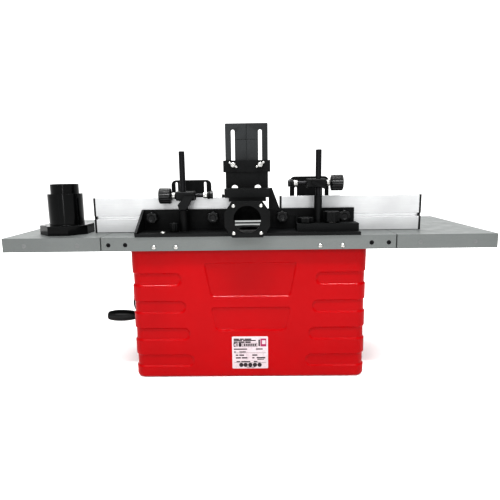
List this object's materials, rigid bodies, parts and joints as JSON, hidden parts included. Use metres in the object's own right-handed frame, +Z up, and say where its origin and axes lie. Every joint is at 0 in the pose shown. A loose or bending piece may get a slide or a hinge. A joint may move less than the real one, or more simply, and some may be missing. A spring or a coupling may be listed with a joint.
{
  "type": "router table",
  "caption": "Bench router table with pressed cabinet, extension tables, split fence with dust port, slotted guard, comb hold-downs and side crank lift.",
  "frame": {"origin": "centre of the cabinet's foot face, on the bench", "axes": "+Z up, +X to the operator's right where the crank is, +Y towards the dust port"},
  "size_m": [1.014, 0.4007, 0.543],
  "materials": {
    "red_cabinet": "glossy red paint on pressed steel",
    "table_alloy": "satin grey cast alloy with fine grain",
    "black_moulding": "black fine-textured moulding",
    "black_steel": "black oxide steel",
    "zinc": "bright zinc plated",
    "steel": "ground steel",
    "extruded_aluminium": "pale anodised extrusion",
    "label_film": "white printed film",
    "green_plastic": "green button plastic",
    "red_plastic": "red button plastic",
    "brass": "turned brass",
    "bronze": "sintered bronze",
    "motor_alloy": "die-cast motor body",
    "copper_laminate": "steel laminations with copper windings",
    "grip_plastic": "black hand grip"
  },
  "bodies": {
    "table_frame": {"housing_shell": "red_cabinet", "rating_label": "label_film", "main_table": "table_alloy", "extension_right": "table_alloy", "extension_left": "table_alloy", "joining_bars": "black_steel", "joining_bolts": "black_steel", "skirt_screws": "zinc", "insert_ring": "black_moulding", "switch_box": "black_moulding", "cable_gland": "black_moulding", "guide_columns": "steel", "lift_bracket": "motor_alloy", "crank_bush": "bronze"},
    "stop_button": {"stop_button": "red_plastic"},
    "start_button": {"start_button": "green_plastic"},
    "reset_button": {"reset_button": "black_moulding"},
    "speed_dial": {"speed_dial": "black_moulding"},
    "lead_screw": {"lead_screw": "steel", "driven_bevel_gear": "steel"},
    "crank": {"crank_shaft": "steel", "driving_bevel_gear": "steel", "crank_arm": "black_steel"},
    "crank_grip": {"crank_grip": "grip_plastic"},
    "motor": {"motor_carriage": "motor_alloy", "lift_nut": "brass", "motor_housing": "motor_alloy", "brush_caps": "black_moulding", "stator_core": "copper_laminate", "motor_bearings": "steel"},
    "spindle": {"rotor_shaft": "steel", "cooling_fan": "black_moulding", "collet": "steel", "collet_nut": "zinc"},
    "fence": {"fence_base": "black_moulding", "port_screws": "zinc", "hold_down_rods": "black_steel", "clamp_nuts": "zinc", "guard_bracket": "black_moulding"},
    "fence_clamp_knob_right": {"fence_clamp_knob_right": "black_moulding"},
    "fence_clamp_knob_left": {"fence_clamp_knob_left": "black_moulding"},
    "fence_lock_knob": {"fence_lock_knob": "black_moulding"},
    "fence_plate_right": {"fence_plate_right": "extruded_aluminium"},
    "fence_plate_left": {"fence_plate_left": "extruded_aluminium"},
    "plate_knob_right_outer": {"plate_knob_right_outer": "black_moulding"},
    "plate_knob_right_inner": {"plate_knob_right_inner": "black_moulding"},
    "plate_knob_left_inner": {"plate_knob_left_inner": "black_moulding"},
    "plate_knob_left_outer": {"plate_knob_left_outer": "black_moulding"},
    "guard_slide": {"guard_slide": "black_moulding"},
    "wing_nut_right": {"wing_nut_right": "zinc"},
    "wing_nut_left": {"wing_nut_left": "zinc"},
    "clamp_arm_right": {"clamp_arm_right": "black_moulding"},
    "clamp_arm_left": {"clamp_arm_left": "black_moulding"},
    "comb_right": {"comb_right": "black_moulding", "comb_arms_right": "black_moulding"},
    "comb_left": {"comb_left": "black_moulding", "comb_arms_left": "black_moulding"},
    "comb_knob_right": {"comb_knob_right": "black_moulding"},
    "comb_knob_left": {"comb_knob_left": "black_moulding"},
    "dust_adapter": {"dust_adapter": "black_moulding"}
  },
  "joints": [
    {"name": "stop_button_press", "type": "slide", "parent": "table_frame", "child": "stop_button", "axis": [0, 1, 0], "range_m": [0, 0.003], "stiffness_N_per_m": 400},
    {"name": "start_button_press", "type": "slide", "parent": "table_frame", "child": "start_button", "axis": [0, 1, 0], "range_m": [0, 0.003], "stiffness_N_per_m": 400},
    {"name": "reset_button_press", "type": "slide", "parent": "table_frame", "child": "reset_button", "axis": [0, 1, 0], "range_m": [0, 0.003], "stiffness_N_per_m": 400},
    {"name": "speed_dial_turn", "type": "hinge", "parent": "table_frame", "child": "speed_dial", "pos_m": [0.028, -0.186, 0.182], "axis": [0, -1, 0], "range_deg": [0, 270]},
    {"name": "crank_turn", "type": "hinge", "parent": "table_frame", "child": "crank", "pos_m": [0.26, 0, 0.127], "axis": [1, 0, 0], "range_deg": [0, 3600]},
    {"name": "lead_screw_turn", "type": "hinge", "parent": "table_frame", "child": "lead_screw", "pos_m": [0.11, 0, 0.2], "axis": [0, 0, 1], "range_deg": [-3600, 0]},
    {"name": "spindle_lift", "type": "slide", "parent": "table_frame", "child": "motor", "axis": [0, 0, 1], "range_m": [0, 0.04]},
    {"name": "crank_grip_spin", "type": "hinge", "parent": "crank", "child": "crank_grip", "pos_m": [0.32, 0, 0.087], "axis": [1, 0, 0], "continuous": true},
    {"name": "spindle_spin", "type": "hinge", "parent": "motor", "child": "spindle", "pos_m": [0, 0.05, 0.2], "axis": [0, 0, 1], "continuous": true},
    {"name": "fence_slide", "type": "slide", "parent": "table_frame", "child": "fence", "axis": [0, -1, 0], "range_m": [0, 0.06]},
    {"name": "fence_plate_right_slide", "type": "slide", "parent": "fence", "child": "fence_plate_right", "axis": [1, 0, 0], "range_m": [-0.01, 0.008]},
    {"name": "fence_plate_left_slide", "type": "slide", "parent": "fence", "child": "fence_plate_left", "axis": [1, 0, 0], "range_m": [-0.02, 0.049]},
    {"name": "fence_clamp_knob_right_turn", "type": "hinge", "parent": "fence", "child": "fence_clamp_knob_right", "pos_m": [0.155, 0.15, 0.33], "axis": [0, 0, 1], "range_deg": [0, 360]},
    {"name": "fence_clamp_knob_left_turn", "type": "hinge", "parent": "fence", "child": "fence_clamp_knob_left", "pos_m": [-0.175, 0.143, 0.345], "axis": [0, 0, 1], "range_deg": [0, 360]},
    {"name": "fence_lock_knob_turn", "type": "hinge", "parent": "fence", "child": "fence_lock_knob", "pos_m": [-0.1215, 0.142, 0.338], "axis": [0, 0, 1], "range_deg": [0, 360]},
    {"name": "plate_knob_right_outer_turn", "type": "hinge", "parent": "fence", "child": "plate_knob_right_outer", "pos_m": [0.208, 0.118, 0.344], "axis": [0, 1, 0], "range_deg": [0, 360]},
    {"name": "plate_knob_right_inner_turn", "type": "hinge", "parent": "fence", "child": "plate_knob_right_inner", "pos_m": [0.076, 0.118, 0.344], "axis": [0, 1, 0], "range_deg": [0, 360]},
    {"name": "plate_knob_left_inner_turn", "type": "hinge", "parent": "fence", "child": "plate_knob_left_inner", "pos_m": [-0.073, 0.118, 0.344], "axis": [0, 1, 0], "range_deg": [0, 360]},
    {"name": "plate_knob_left_outer_turn", "type": "hinge", "parent": "fence", "child": "plate_knob_left_outer", "pos_m": [-0.206, 0.118, 0.344], "axis": [0, 1, 0], "range_deg": [0, 360]},
    {"name": "guard_lift", "type": "slide", "parent": "fence", "child": "guard_slide", "axis": [0, 0, 1], "range_m": [-0.066, 0]},
    {"name": "wing_nut_right_turn", "type": "hinge", "parent": "fence", "child": "wing_nut_right", "pos_m": [0.0314, 0.097, 0.455], "axis": [0, 1, 0], "range_deg": [0, 360]},
    {"name": "wing_nut_left_turn", "type": "hinge", "parent": "fence", "child": "wing_nut_left", "pos_m": [-0.0274, 0.097, 0.455], "axis": [0, 1, 0], "range_deg": [0, 360]},
    {"name": "clamp_arm_right_lift", "type": "slide", "parent": "fence", "child": "clamp_arm_right", "axis": [0, 0, 1], "range_m": [0, 0.05]},
    {"name": "clamp_arm_left_lift", "type": "slide", "parent": "fence", "child": "clamp_arm_left", "axis": [0, 0, 1], "range_m": [0, 0.05]},
    {"name": "comb_right_tilt", "type": "hinge", "parent": "clamp_arm_right", "child": "comb_right", "pos_m": [0.136, 0.121, 0.3915], "axis": [1, 0, 0], "range_deg": [-60, 0]},
    {"name": "comb_left_tilt", "type": "hinge", "parent": "clamp_arm_left", "child": "comb_left", "pos_m": [-0.148, 0.121, 0.415], "axis": [1, 0, 0], "range_deg": [-60, 10]},
    {"name": "comb_knob_right_turn", "type": "hinge", "parent": "clamp_arm_right", "child": "comb_knob_right", "pos_m": [0.177, 0.121, 0.3915], "axis": [1, 0, 0], "range_deg": [0, 360]},
    {"name": "comb_knob_left_turn", "type": "hinge", "parent": "clamp_arm_left", "child": "comb_knob_left", "pos_m": [-0.189, 0.121, 0.415], "axis": [1, 0, 0], "range_deg": [0, 360]},
    {"name": "dust_adapter_lift_off", "type": "slide", "parent": "table_frame", "child": "dust_adapter", "axis": [0, 0, 1], "range_m": [0, 0.12]}
  ],
  "couplings": [
    {"joint": "crank_turn", "follows": "spindle_lift", "rad_per_m": 1570.8},
    {"joint": "lead_screw_turn", "follows": "spindle_lift", "rad_per_m": -1570.8}
  ]
}
